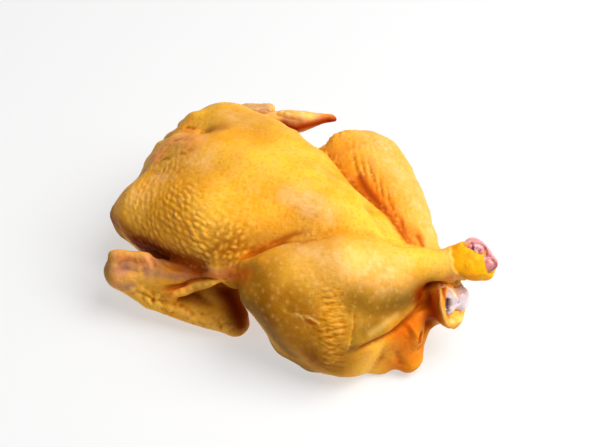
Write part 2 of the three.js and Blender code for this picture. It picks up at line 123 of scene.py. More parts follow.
class Surface:
    """A piece's points, in millimetres, held as arrays while the piece is modelled."""

    def __init__(self, piece):
        self.piece = piece
        self.marks = {}
        self.read()
        self.links = np.empty(len(piece.data.edges) * 2, np.int32)
        piece.data.edges.foreach_get("vertices", self.links)
        self.links = self.links.reshape(-1, 2)

    def read(self):
        """Takes the points and normals from the piece's mesh."""
        mesh = self.piece.data
        places = np.empty(len(mesh.vertices) * 3, np.float32)
        mesh.vertices.foreach_get("co", places)
        normals = np.empty(len(mesh.vertices) * 3, np.float32)
        mesh.vertex_normals.foreach_get("vector", normals)
        self.places = places.reshape(-1, 3) / MM
        self.normals = normals.reshape(-1, 3)
        self.tree = BVHTree.FromPolygons(self.places.tolist(), [list(f.vertices) for f in mesh.polygons])

    def write(self):
        """Gives the piece's mesh the points as they are now."""
        self.piece.data.vertices.foreach_set("co", (self.places * MM).astype(np.float32).ravel())
        self.piece.data.update()

    def line(self, corners, step=1.5):
        """A smooth line through the corners, laid on the surface, with the surface's normals along it."""
        corners = [Vector(c) for c in corners]
        if len(corners) == 1:  # a single spot is a very short line
            corners.append(corners[0] + Vector((0.2, 0.0, 0.0)))
        ends = [corners[0] * 2 - corners[1]] + corners + [corners[-1] * 2 - corners[-2]]
        laid = []
        for a, b, c, d in zip(ends, ends[1:], ends[2:], ends[3:]):
            pieces = max(1, round((c - b).length / step))
            for i in range(pieces):
                t = i / pieces
                laid.append(0.5 * ((2 * b) + (c - a) * t + (2 * a - 5 * b + 4 * c - d) * t * t
                                   + (3 * b - a - 3 * c + d) * t * t * t))
        laid.append(corners[-1])
        found = [self.tree.find_nearest(p) for p in laid]
        laid = np.array([f[0] for f in found])
        facing = np.array([f[1] for f in found])
        whole = facing.mean(0)
        facing[facing @ whole < 0] = whole
        for _ in range(2):
            laid[1:-1] = (laid[:-2] + 2 * laid[1:-1] + laid[2:]) / 4
            facing[1:-1] = (facing[:-2] + facing[1:-1] + facing[2:]) / 3
        return laid, facing

    def near(self, corners, width):
        """Points near a line: their numbers, distances, sides (+1 or -1), shares of the way along it, and
        how far they face the same way as the line does (1 the same, -1 the opposite way)."""
        laid, facing = self.line(corners)
        low = laid.min(0) - width
        high = laid.max(0) + width
        inside = np.nonzero(((self.places > low) & (self.places < high)).all(1))[0]
        gaps = self.places[inside, None, :] - laid[None]
        closest = (gaps ** 2).sum(2).argmin(1)
        gaps = gaps[np.arange(len(inside)), closest]
        step = np.gradient(laid, axis=0)
        length = np.linalg.norm(step, axis=1)
        way = (step / length[:, None])[closest]
        half = length[closest] / 2
        slide = np.clip((gaps * way).sum(1), -half, half)
        distances = np.linalg.norm(gaps - way * slide[:, None], axis=1)
        side = np.where((gaps * np.cross(facing[closest], way)).sum(1) > 0, 1.0, -1.0)
        share = np.clip((closest + slide / (2 * half)) / (len(laid) - 1), 0.0, 1.0)
        return inside, distances, side, share, (self.normals[inside] * facing[closest]).sum(1)

    def fold(self, corners, height, left, right=None, taper=0.25):
        """Raises a fold along a line, or presses a crease with a negative height, with its own width to
        the left and the right of the line as seen from outside. It tapers over a share of each end."""
        right = left if right is None else right
        points, distance, side, share, alike = self.near(corners, FOLD_REACH * max(left, right))
        width = np.where(side > 0, left, right)
        ends = np.clip(np.minimum(share, 1 - share) / taper, 0.0, 1.0) if len(corners) > 1 else 1.0
        turned = np.clip(alike * FACING_GAIN, 0.0, 1.0)
        lift = height * eased(ends) * turned * np.exp(-((distance / width) ** 2))
        self.places[points] += self.normals[points] * lift[:, None]

    def wrinkle(self, spots, radius, height, size, along, stretch, seed):
        """Soft wrinkles, large and small, drawn out along a direction, in a patch."""
        points, distance, _, _, alike = self.near(spots, radius)
        along = np.array(Vector(along).normalized())
        drawn = self.places[points] - np.outer(self.places[points] @ along, along) * (1 - 1 / stretch)
        fade = eased(np.clip(1 - distance / radius, 0, 1)) * np.clip(alike * FACING_GAIN, 0.0, 1.0)
        lift = (0.7 * wander(drawn, size * 2, seed) + 0.4 * wander(drawn, size, seed + 50)) * height * fade
        self.places[points] += self.normals[points] * lift[:, None]

    def shift(self, spots, radius, by):
        """Moves a patch, which fades out at the radius, by a step in millimetres."""
        points, distance, _, _, _ = self.near(spots, radius)
        fade = eased(np.clip(1 - distance / radius, 0, 1))
        self.places[points] += fade[:, None] * np.array(by)

    def evened(self, numbers, rounds):
        """The points with those numbers, after so many rounds of drawing each one towards its neighbours."""
        count = len(numbers)
        rank = np.full(len(self.places), -1)
        rank[numbers] = np.arange(count)
        first, second = rank[self.links[(rank[self.links] >= 0).all(1)]].T
        shares = np.bincount(first, minlength=count) + np.bincount(second, minlength=count)
        shares = np.maximum(shares, 1)[:, None]
        even = self.places[numbers]
        for _ in range(rounds):
            total = np.stack([np.bincount(first, even[second, axis], count)
                              + np.bincount(second, even[first, axis], count) for axis in range(3)], 1)
            even = KEPT_SHARE * even + DRAWN_SHARE * total / shares
        return even

    def relax(self, spots, radius, rounds):
        """Evens out a patch that has become rough."""
        points, distance, _, _, _ = self.near(spots, radius)
        inside = distance < radius
        points = points[inside]
        distance = distance[inside]
        fade = np.clip(2 - 2 * distance / radius, 0, 1)[:, None]
        self.places[points] += fade * (self.evened(points, rounds) - self.places[points])

    def mark(self, name):
        """The amounts of one mark at all points, all zero to begin with."""
        return self.marks.setdefault(name, np.zeros(len(self.places), np.float32))

    def stain(self, name, spots, radius, strength, back=False):
        """Marks a patch round a spot, or along a line of spots, that fades out at the radius. It marks skin
        that faces the other way only if back is true."""
        points, distance, _, _, alike = self.near(spots, radius)
        amount = eased(np.clip(1.0 - distance / radius, 0.0, 1.0)) * strength
        if not back:
            amount *= np.clip(1 + alike * 2, 0, 1)
        amounts = self.mark(name)
        amounts[points] = np.maximum(amounts[points], amount)

    def depth(self, rounds):
        """How far each point lies below the surface evened out round it: less than zero on a crest."""
        even = self.evened(np.arange(len(self.places)), rounds)
        return ((even - self.places) * self.normals).sum(1)

    def keep(self):
        """Gives the mesh its points, and its marks as attributes that the finish reads."""
        self.write()
        for name, amounts in self.marks.items():
            self.piece.data.attributes.new(name, "FLOAT", "POINT")
            self.piece.data.attributes[name].data.foreach_set("value", amounts.astype(np.float32))


skin = piece_from("carcass", "plucked_skin", SKIN_VOXEL, cuts=3, rounds=8)
hide = Surface(skin)

# Broad forms first. Each patch of skin round its spots, out to its radius, moves to the camera's right and
# up by so many millimetres, so that the legs, wings, breast, neck and rump have their true outlines.
for spots, radius, right, up in [
    ([(16, -83, 41), (22, -82, 33), (29, -81, 25), (35, -79, 19)], 26, 3.8, 2.6),
    ([(5, -78, 28), (10, -77, 20), (15, -76, 16)], 16, 2.6, 1.4),
    ([(22, -75, 11), (31, -75, 9), (40, -74, 8), (48, -73, 8)], 14, -0.8, -2.6),
    ([(1, -78, 56), (0, -76, 59), (6, -82, 56)], 17, -4.0, -0.5),
    ([(-20, -61, 21), (-15, -65, 20), (-12, -67, 19)], 12, 5.0, 0.0),
    ([(-104, -96, 33), (-103, -100, 28), (-97, -104, 25), (-93, -105, 23)], 14, 2.0, 0.8),
    ([(-99, -99, 39), (-97, -104, 35), (-93, -107, 30)], 14, 1.6, 0.4),
    ([(-86, -104, 21), (-78, -102, 19), (-70, -99, 17)], 12, 0.0, -1.0),
    ([(-100, -91, 41), (-97, -87, 43), (-91, -84, 44), (-87, -82, 45)], 14, 0.5, -1.8),
    ([(-108, -71, 40), (-103, -71, 35), (-100, -70, 31)], 15, 2.6, 2.0),
    ([(-61, -98, 20), (-41, -91, 15), (-25, -85, 12)], 10, 0.0, -1.6),
    ([(-82, 84, 53), (-73, 90, 53), (-65, 97, 51), (-56, 101, 50)], 14, -0.8, 2.4),
    ([(-111, 80, 52), (-105, 84, 53), (-98, 87, 53), (-94, 87, 50)], 8, -1.2, -1.8),
    ([(-19, 84, 68), (-17, 98, 61), (-4, 97, 61)], 16, 0.0, -1.8),
    ([(5, 90, 64), (12, 88, 62), (19, 86, 60), (25, 83, 58)], 14, 2.6, 1.4),
    ([(40, 75, 57), (49, 67, 59)], 14, 1.6, 0.6),
    ([(59, 68, 41), (65, 65, 36), (73, 58, 28), (80, 50, 22)], 24, -9.0, 0.0),
    ([(75, 49, 50), (80, 46, 46), (85, 40, 44)], 19, -5.0, 0.0),
    ([(-52, 55, 73), (-47, 57, 66), (-40, 55, 70), (-33, 51, 74)], 16, -2.6, -2.6),
    ([(-42, 41, 84), (-31, 40, 82)], 18, -1.0, -1.0),
    ([(45, 17, 79), (56, 13, 76), (66, 9, 75), (76, 2, 80)], 17, -5.0, -2.6),
    ([(-24, 70, 66), (-18, 76, 68)], 14, -3.0, 3.6),
    ([(-126, -13, 62), (-122, -10, 70), (-118, -5, 75)], 14, 2.0, -1.6),
    ([(-118, 2, 75), (-115, 14, 80)], 9, -0.8, 1.4),
    ([(-120, -56, 61), (-120, -49, 63), (-122, -36, 66)], 16, 2.6, -1.4),
    ([(-120, -65, 46), (-119, -64, 39), (-116, -64, 34)], 12, -1.6, -1.0),
    ([(-115, 20, 83), (-115, 30, 77), (-112, 36, 79)], 13, -0.6, 0.5),
    ([(128, 25, 78), (131, 21, 76), (131, 18, 69)], 16, -2.6, 0.0),
    ([(117, 9, 62), (120, 12, 60), (124, 16, 60)], 13, -0.6, 3.0),
    ([(103, -4, 22), (106, -8, 23)], 8, -4.0, 3.0),
    ([(110, -13, 35), (111, -9, 29), (114, -9, 31)], 8, 1.4, 2.4),
    ([(106, -20, 11), (108, -25, 9)], 13, 2.4, 0.0),
    ([(102, -33, 1), (105, -30, 3), (107, -27, 4)], 14, -2.0, 2.2),
    ([(78, -68, 18), (83, -58, 12), (87, -46, 5)], 14, 0.0, -2.6),
    ([(43, -76, 11), (55, -76, 13), (66, -74, 15)], 16, 0.0, -0.5),
]:
    hide.shift(spots, radius, camera_right * right + camera_up * up)
# The skin of the wing's upper arm runs up on to the front of the leg.
hide.shift([(-20, -68, 54), (-12, -64, 57), (-10, -64, 52)], 17, camera_back * 8.0)
hide.shift([(-16, -63, 44), (-9, -66, 46)], 13, camera_up * -7.0 - camera_right)
hide.shift([(-24, -50, 17), (-20, -52, 20)], 12, camera_right * 4.0 + camera_up * 2.0)
hide.write()
hide.read()

# The skin is evened out where it was stretched: the rump's edge, the left knee, the neck, the right wing's
# hand, the root of the right wing, and the top of the right leg.
for spots, radius, rounds in [
    ([(103, -6, 26), (104, -9, 24), (105, -14, 20), (106, -18, 14)], 9, 120),
    ([(50, 69, 46), (59, 66, 42), (66, 61, 38), (73, 54, 34)], 20, 250),
    ([(-112, 5, 80), (-100, 8, 85), (-90, 8, 90), (-84, 4, 91)], 15, 120),
    ([(-98, -93, 44), (-92, -89, 47), (-86, -87, 49), (-80, -87, 50), (-74, -86, 50)], 10, 60),
    ([(-12, -70, 58), (-6, -72, 62), (-4, -74, 54), (-10, -66, 48)], 19, 400),
    ([(14, -33, 79), (23, -26, 81), (38, -18, 82), (54, -10, 81), (68, -9, 83)], 11, 80),
]:
    hide.relax(spots, radius, rounds)

# The crease between the breast and the right leg, and the lip of leg skin along it.
LEG_CREASE = [(-13, -62, 57), (-8, -61, 62), (1, -54, 72), (7, -43, 76), (14, -33, 79), (23, -26, 81)]
hide.fold(LEG_CREASE, -1.8, 2.6, 2.6, 0.35)
hide.fold([(-9, -65, 58), (-2, -62, 67), (6, -54, 75), (13, -44, 79), (22, -36, 81)], 1.0, 2.2, 3.6)
hide.fold([(-13, -65, 56), (-5, -66, 62), (5, -65, 71), (13, -60, 78)], 2.2, 4.5, 4.5, 0.3)
# The rear edge of the right leg lies over the rump, with a smooth rounded band along it.
LEG_REAR = [(97, -3, 53), (96, -10, 51), (96, -19, 49), (95, -26, 47), (93, -35, 44), (91, -43, 43),
            (89, -51, 44), (84, -61, 44), (80, -68, 43), (77, -73, 38)]
hide.fold(LEG_REAR, 2.0, 1.1, 6.5, 0.15)
hide.fold([(100, -2, 50), (100, -12, 49), (99, -20, 46), (97, -28, 43), (95, -36, 40), (93, -44, 39),
           (90, -52, 40), (86, -61, 40), (82, -68, 38)], -3.2, 3.6, 1.3, 0.15)
# The feathered skin of the thigh ends in an uneven edge, and is finely wrinkled in front of it.
THIGH_EDGE = [(72, -54, 64), (75, -58, 58), (77, -61, 54), (79, -65, 50), (80, -68, 44), (79, -71, 38)]
hide.fold(THIGH_EDGE, 0.7, 0.9, 3.4)
for spot in hide.line(THIGH_EDGE, 2.6)[0]:
    hide.fold([spot], 0.35, 1.1)
hide.wrinkle([(60, -60, 67), (69, -67, 57), (65, -73, 50), (73, -73, 42), (72, -76, 30)], 18, 0.4, 1.5,
             camera_right, 4.0, 11)
hide.wrinkle([(58, -70, 58), (60, -78, 52), (40, -80, 54)], 20, 0.14, 1.9, camera_right, 3.0, 10)
# Loose skin of the neck lies in soft wrinkled folds.
hide.fold([(-79, -17, 96), (-82, -21, 93), (-88, -25, 90), (-95, -27, 85), (-103, -29, 79), (-111, -34, 72)],
          -0.8, 3.0)
hide.fold([(-82, -9, 96), (-85, -14, 95), (-89, -17, 93), (-96, -18, 89), (-102, -20, 85)], 0.8, 2.6)
hide.fold([(-83, -4, 95), (-93, -8, 91), (-102, -12, 86), (-109, -14, 81)], -0.8, 2.0)
hide.fold([(-100, 5, 84), (-107, 6, 82), (-112, 5, 80)], -0.7, 2.0)
hide.wrinkle([(-88, -16, 92), (-100, -20, 86), (-110, -26, 76)], 16, 0.22, 2.4, (0.8, 0.5, 0.3), 2.0, 12)
hide.wrinkle([(-98, 4, 86), (-108, 8, 80)], 15, 0.2, 2.6, (0.8, 0.2, 0.4), 1.6, 13)

# The right wing: three creases run along the hand to the thumb, over the hand's muscle and the roll of skin
# under it. Behind them are the rear edge of the forearm and the sunken web of skin before the upper arm.
hide.fold([(-92, -98, 43), (-88, -94, 47), (-83, -89, 50), (-75, -87, 52), (-69, -85, 50)], 0.6, 2.6)
hide.fold([(-89, -101, 41), (-86, -95, 44), (-78, -91, 46), (-70, -88, 46)], -0.7, 1.8)
hide.fold([(-92, -105, 36), (-87, -100, 40), (-78, -96, 41), (-72, -94, 42), (-67, -88, 45)], -1.1, 2.0)
hide.fold([(-84, -106, 31), (-81, -101, 38), (-79, -98, 40)], -0.7, 1.8)
hide.fold([(-80, -104, 28), (-75, -101, 35), (-72, -98, 37)], 0.7, 2.2)
hide.fold([(-69, -83, 49), (-67, -85, 47), (-64, -88, 45)], -1.2, 1.4)
hide.fold([(-66, -84, 47), (-56, -81, 48), (-46, -77, 49), (-36, -74, 52), (-23, -69, 55), (-12, -63, 58)],
          0.9, 1.7)
hide.fold([(-56, -86, 46), (-48, -82, 47), (-40, -79, 48), (-32, -74, 51), (-22, -70, 53)], -0.8, 1.3)
hide.fold([(-64, -90, 43), (-58, -89, 44), (-49, -85, 45), (-39, -81, 46)], 1.2, 3.6)
hide.fold([(-55, -91, 36), (-44, -86, 38), (-38, -82, 43), (-29, -77, 47), (-20, -72, 50), (-11, -66, 54)],
          -2.0, 1.6)
hide.fold([(-48, -93, 31), (-44, -89, 35), (-40, -84, 39), (-34, -80, 43), (-28, -78, 45), (-22, -75, 47),
           (-17, -71, 49), (-10, -68, 52), (-4, -67, 55)], 1.7, 2.1)
for spot in [(-45, -91, 34), (-42, -87, 37), (-37, -84, 39), (-33, -81, 42), (-28, -78, 44), (-23, -75, 47),
             (-19, -72, 48), (-15, -69, 50)]:
    hide.fold([spot], 1.1, 1.8)
# The roll of skin at the wing's root, and the crease under it, run on towards the leg.
hide.fold([(-30, -73, 52), (-22, -70, 54), (-14, -68, 57), (-6, -68, 61)], 1.2, 1.7)
hide.fold([(-26, -73, 50), (-18, -71, 53), (-10, -69, 57)], -1.3, 1.5)
hide.relax([(-80, -103, 28), (-71, -99, 31), (-62, -95, 28), (-53, -93, 25), (-45, -90, 24)], 11, 90)
# Lumps of fat stand along the forearm's rear edge.
for spot in [(-74, -101, 30), (-68, -98, 31), (-70, -100, 26), (-64, -96, 29), (-63, -98, 24),
             (-57, -94, 27), (-56, -95, 22), (-50, -92, 24), (-49, -92, 19), (-41, -89, 19),
             (-34, -88, 15), (-27, -84, 16), (-19, -82, 12), (-11, -79, 13)]:
    hide.fold([spot], 1.0, 2.1)
hide.fold([(-70, -100, 25), (-61, -98, 22), (-52, -94, 21), (-42, -90, 19), (-32, -87, 16), (-22, -83, 15),
           (-12, -80, 13)], 1.4, 2.4)
hide.wrinkle([(-94, -100, 41), (-84, -102, 37), (-76, -100, 34)], 14, 0.22, 2.4, (0.9, 0.3, 0.3), 2.4, 14)
hide.wrinkle([(-60, -97, 22), (-44, -91, 18), (-29, -85, 15), (-5, -77, 11)], 12, 0.45, 2.8,
             (0.2, -0.5, 0.8), 1.3, 15)
hide.wrinkle([(-44, -88, 36), (-30, -79, 45), (-12, -68, 52)], 5, 0.3, 1.6, (0.2, -0.5, 0.8), 1.5, 16)
hide.wrinkle([(-92, -93, 46), (-74, -88, 49)], 9, 0.18, 2.0, (1.0, 0.2, 0.1), 2.6, 17)
# The left wing, whose thumb and hand lie the same way.
hide.fold([(-70, 83, 54), (-80, 80, 54), (-90, 80, 54)], -1.2, 1.6)
hide.wrinkle([(-104, 82, 52), (-80, 84, 53), (-60, 98, 52)], 14, 0.25, 2.4, (1.0, 0.5, 0.0), 2.4, 18)

# Small folds fan out over the left leg from its crease with the breast.
for line in [
    [(-11, 66, 70), (0, 55, 67), (12, 45, 65)],
    [(-5, 66, 71), (7, 54, 69), (19, 42, 66)],
    [(0, 68, 71), (11, 56, 70), (25, 40, 67)],
    [(7, 64, 71), (19, 49, 70), (33, 36, 67)],
    [(17, 58, 71), (30, 42, 70), (41, 31, 66)],
    [(27, 50, 72), (39, 38, 69), (49, 28, 65)],
    [(38, 41, 70), (47, 32, 67), (58, 24, 64)],
    [(47, 35, 68), (56, 28, 65), (65, 20, 64)],
]:
    hide.fold(line, -0.7, 1.4, 1.4, 0.5)
hide.wrinkle([(20, 55, 71), (36, 44, 71), (56, 32, 66)], 16, 0.16, 1.8, (0.55, -0.75, -0.2), 4.0, 19)
hide.fold([(68, 26, 64), (74, 23, 63), (80, 19, 64)], -1.1, 1.6)
hide.fold([(66, 31, 64), (73, 28, 63), (80, 25, 64)], 0.8, 1.8)
# Fine lines run over the smooth skin of the breast and the outside of the right leg.
hide.wrinkle([(-8, -10, 97), (22, -12, 93)], 26, 0.07, 1.3, (0.75, 0.55, -0.3), 7.0, 23)
hide.wrinkle([(-40, -30, 94), (0, -40, 86)], 30, 0.07, 1.8, (0.2, -0.6, -0.5), 6.0, 24)
hide.wrinkle([(84, -44, 58), (92, -25, 64)], 20, 0.06, 1.4, (0.75, 0.6, 0.2), 6.0, 25)
# The rump has an inner ridge, a crease in front of it and the slit of the vent behind.
hide.fold([(95, -28, 45), (100, -27, 40), (104, -26, 34), (106, -27, 29)], 1.5, 2.0)
hide.fold([(106, -22, 33), (107, -25, 28)], -1.6, 1.4)
hide.fold([(97, -36, 26), (98, -37, 21), (100, -37, 16), (102, -38, 9)], -1.1, 3.4)
hide.wrinkle([(96, -30, 42), (102, -28, 28), (100, -34, 14)], 18, 0.1, 4.0, (0.5, -0.5, 0.7), 2.0, 20)

# On the right leg the skin ends in a pale edge short of the hock, and fat lies bare beyond it.
EDGE_SPOT = Vector((110, 5, 77))
EDGE_FACING = Vector((0.72, 0.52, 0.45)).normalized()
EDGE_HEIGHT = 0.9
EDGE_UNEVENNESS = 0.8
EDGE_SLOPE = 3.5
EDGE_DROP = 0.35
FAT_DROP = 0.4
KNOB = Vector((115, 19, 69))
KNOB_REACH = 34
KNOB_BOTTOM = 50


def dropped(beyond, drop):
    """What an amount is divided by, to drop to nothing within about that distance beyond an edge."""
    return 1 + np.exp(np.clip(beyond / drop, -30, 30))


uneven = EDGE_UNEVENNESS * wander(hide.places, 9, 21)
beyond = (hide.places - np.array(EDGE_SPOT)) @ np.array(EDGE_FACING) + uneven
by_knob = np.clip((KNOB_REACH - np.linalg.norm(hide.places - np.array(KNOB), axis=1)) / 8, 0, 1)
by_knob *= np.clip((hide.places[:, 2] - KNOB_BOTTOM) / 6, 0, 1)
skin_side = np.exp(np.minimum(beyond, 0) / EDGE_SLOPE) / dropped(beyond, EDGE_DROP)
hide.places += hide.normals * (EDGE_HEIGHT * skin_side * by_knob)[:, None]
hide.mark("amber")[:] = 0.9 * by_knob / dropped(-beyond, FAT_DROP)
hide.mark("pale")[:] = 0.8 * by_knob * skin_side
hide.fold([(113, 3, 68), (117, 8, 62), (118, 16, 60)], -1.2, 1.8)
hide.fold([(113, 2, 70), (117, 5, 68), (119, 8, 66)], -1.6, 2.4)
hide.fold([(128, 14, 73), (129, 14, 70)], 1.0, 3.0)
hide.fold([(116, 9, 76), (121, 12, 76)], 0.6, 3.0)
hide.wrinkle([KNOB], 24, 0.3, 3.2, (0.79, 0.6, 0.08), 1.4, 22)
# The left hock's sleeve of skin ends in a pale rolled rim, over lumps of fat.
hide.fold([(103, 1, 57), (109, -6, 57), (113, -11, 53), (117, -13, 46), (119, -11, 39)], 1.1, 1.2)
for spot in [(118, -8, 38), (121, -3, 37), (120, 4, 34)]:
    hide.fold([spot], 1.0, 2.8)
hide.wrinkle([(118, -7, 41), (121, -3, 38), (120, 4, 35), (121, 8, 41)], 8, 0.5, 2.4, (0, 0, 1), 1.2, 26)
# Fine goose flesh covers all of the skin.
GOOSE_FLESH = 0.03
goose_flesh = GOOSE_FLESH * wander(hide.places, 4.2, 41) + GOOSE_FLESH * wander(hide.places, 2.8, 42)
hide.places += hide.normals * goose_flesh[:, None]
hide.write()
hide.read()

# Feather follicles stand in staggered rows, each a small grain of skin that leans the way its feather lay.
# They are gathered in lift, the height to add at each point, and grown, the highest grain there so far.
TRACT_REACH = 75
LOOK_FROM = 120
FACING_LEAST = 0.2
ROW_WAVER = 0.6
GRAIN_REACH = 2.2
GRAIN_SIZES = (0.8, 1.15)
GRAIN_STRENGTHS = (0.5, 1.15)
GRAIN_TURN = 0.22
GRAIN_LEAST = 0.08
lift = np.zeros(len(hide.places), np.float32)
grown = np.zeros(len(hide.places), np.float32)
point_tree = KDTree(len(hide.places))
for number, place in enumerate(hide.places.tolist()):
    point_tree.insert(place, number)
point_tree.balance()


def tract(facing, along, middle, step, row_step, seed, jitter, ridge=0.0, patches=()):
    """Places of follicles in staggered rows, found by looking at the skin from the side it faces. Where the
    patches are strong, the rows also stand up as low ridges."""
    draw = np.random.default_rng(seed)
    facing = Vector(facing).normalized()
    along = (Vector(along) - facing * facing.dot(Vector(along))).normalized()
    across = facing.cross(along)
    if ridge:
        strength = np.zeros(len(hide.places), np.float32)
        for spot, radius, power in patches:
            gap = np.linalg.norm(hide.places - np.array(spot), axis=1)
            strength = np.maximum(strength, power * np.clip(1 - gap / radius, 0, 1))
        rows = (hide.places - np.array(middle)) @ np.array(across)
        rows = rows + ROW_WAVER * wander(hide.places, 12, seed)
        strength *= np.clip(hide.normals @ np.array(facing) * 2, 0, 1)
        lift[:] += ridge * strength * np.cos(rows * 2 * np.pi / row_step)
    found = []
    for row in range(int(-TRACT_REACH / row_step), int(TRACT_REACH / row_step) + 1):
        for place in range(int(-TRACT_REACH / step), int(TRACT_REACH / step) + 1):
            u = (place + 0.5 * (row % 2)) * step + draw.normal() * jitter * step
            v = row * row_step + draw.normal() * jitter * row_step
            start = Vector(middle) + along * u + across * v + facing * LOOK_FROM
            hit, normal, _, _ = hide.tree.ray_cast(start, -facing)
            if hit is not None and normal.dot(facing) > FACING_LEAST:
                found.append((hit, normal))
    return found


def raise_grains(found, patches, lean, long, wide, height, mark, seed):
    """Raises a grain of skin at each follicle that lies in one of the patches (place, radius, strength)."""
    draw = np.random.default_rng(seed)
    amounts = hide.mark(mark)
    for spot, normal in found:
        strength = max(power * max(0.0, 1 - (spot - Vector(middle)).length / radius) ** 0.5
                       for middle, radius, power in patches)
        size = draw.uniform(*GRAIN_SIZES)
        turn = draw.normal() * GRAIN_TURN
        strength *= draw.uniform(*GRAIN_STRENGTHS)
        if strength < GRAIN_LEAST:
            continue
        direction = Vector(lean(spot))
        direction = (direction - normal * normal.dot(direction)).normalized()
        direction.rotate(Matrix.Rotation(turn, 3, normal))
        other = normal.cross(direction)
        numbers = np.array([number for _, number, _ in point_tree.find_range(spot, GRAIN_REACH * long)], int)
        gaps = hide.places[numbers] - np.array(spot)
        far = ((gaps @ np.array(direction) / (long * size)) ** 2
               + (gaps @ np.array(other) / (wide * size)) ** 2)
        grain = np.exp(-far - (gaps @ np.array(normal) / long) ** 2) * strength
        lift[numbers] += np.maximum(0, grain * height - grown[numbers])
        grown[numbers] = np.maximum(grown[numbers], grain * height)
        amounts[numbers] = np.maximum(amounts[numbers], grain)


def breast_lean(spot):
    """Grains on the right breast stand upright at the front, then lean forward, then back near the leg."""
    share = min(1.0, max(0.0, (spot.x + 95) / 90))
    angle = math.radians(100 + 48 * min(1.0, share * 2.2) if share < 0.72 else 40)
    return camera_right * math.cos(angle) + camera_up * math.sin(angle)


def mirrored(spot):
    """The same lean on the left side."""
    lean = breast_lean(Vector((spot.x, -spot.y, spot.z)))
    return Vector((lean.x, -lean.y, lean.z))


RIGHT_BREAST = [((-62, -62, 78), 30, 0.7), ((-40, -70, 70), 26, 1.0), ((-22, -62, 74), 24, 0.9),
                ((-98, -60, 68), 34, 0.46), ((-90, -42, 80), 28, 0.38), ((-75, -72, 55), 28, 0.7),
                ((-105, -68, 50), 26, 0.36), ((-36, -46, 86), 30, 0.2)]
LEFT_BREAST = [((x, -y, z), radius, power) for (x, y, z), radius, power in RIGHT_BREAST]
ROW_ANGLE = math.radians(-20)
row_way = camera_right * math.cos(ROW_ANGLE) + camera_up * math.sin(ROW_ANGLE)
raise_grains(tract((-0.4, -0.75, 0.5), row_way, (-60, -60, 70), step=5.2, row_step=3.7, seed=1,
                   jitter=0.22, ridge=0.08, patches=RIGHT_BREAST),
             RIGHT_BREAST, breast_lean, long=2.5, wide=1.35, height=1.5, mark="grain", seed=2)
raise_grains(tract((-0.4, 0.75, 0.5), (row_way.x, -row_way.y, row_way.z), (-60, 60, 70), step=5.2,
                   row_step=3.7, seed=3, jitter=0.22, ridge=0.08, patches=LEFT_BREAST),
             LEFT_BREAST, mirrored, long=2.5, wide=1.35, height=1.3, mark="grain", seed=4)
RIGHT_LEG = [((40, -60, 75), 46, 0.8), ((75, -35, 75), 40, 0.8), ((30, -80, 55), 40, 0.8),
             ((55, -80, 45), 34, 0.5)]
raise_grains(tract((0.15, -0.75, 0.62), camera_right, (50, -55, 65), step=5.6, row_step=4.8, seed=5,
                   jitter=0.34),
             RIGHT_LEG, lambda spot: camera_up, long=1.3, wide=1.05, height=0.3, mark="pore_and_painted_highlight", seed=6)
LEFT_LEG = [((10, 75, 72), 46, 0.9), ((50, 55, 68), 40, 0.9), ((75, 35, 62), 26, 0.7),
            ((30, 75, 50), 50, 0.7)]
raise_grains(tract((0.3, 0.55, 0.78), camera_right, (40, 60, 60), step=5.0, row_step=4.0, seed=7,
                   jitter=0.22),
             LEFT_LEG, lambda spot: camera_up, long=1.6, wide=1.0, height=0.45, mark="pore_and_painted_highlight", seed=8)
hide.places += hide.normals * lift[:, None]
hide.places[:, 2] = np.maximum(hide.places[:, 2], 0.0)

# Shade is painted into the skin's hollows, narrow and wide, and a highlight is painted on its crests.
HOLLOW_DEPTH = 0.22
HOLLOW_SHARE = 0.6
CREST_HEIGHT = 0.25
narrow_depth = hide.depth(12)
wide_depth = hide.depth(60)
hide.mark("painted_hollow_shade")[:] = (np.clip(narrow_depth / HOLLOW_DEPTH, 0, 1) * HOLLOW_SHARE
                          + np.clip(wide_depth, 0, 1) * HOLLOW_SHARE)
hide.mark("painted_crest_highlight")[:] = np.clip(-narrow_depth / CREST_HEIGHT, 0, 1)
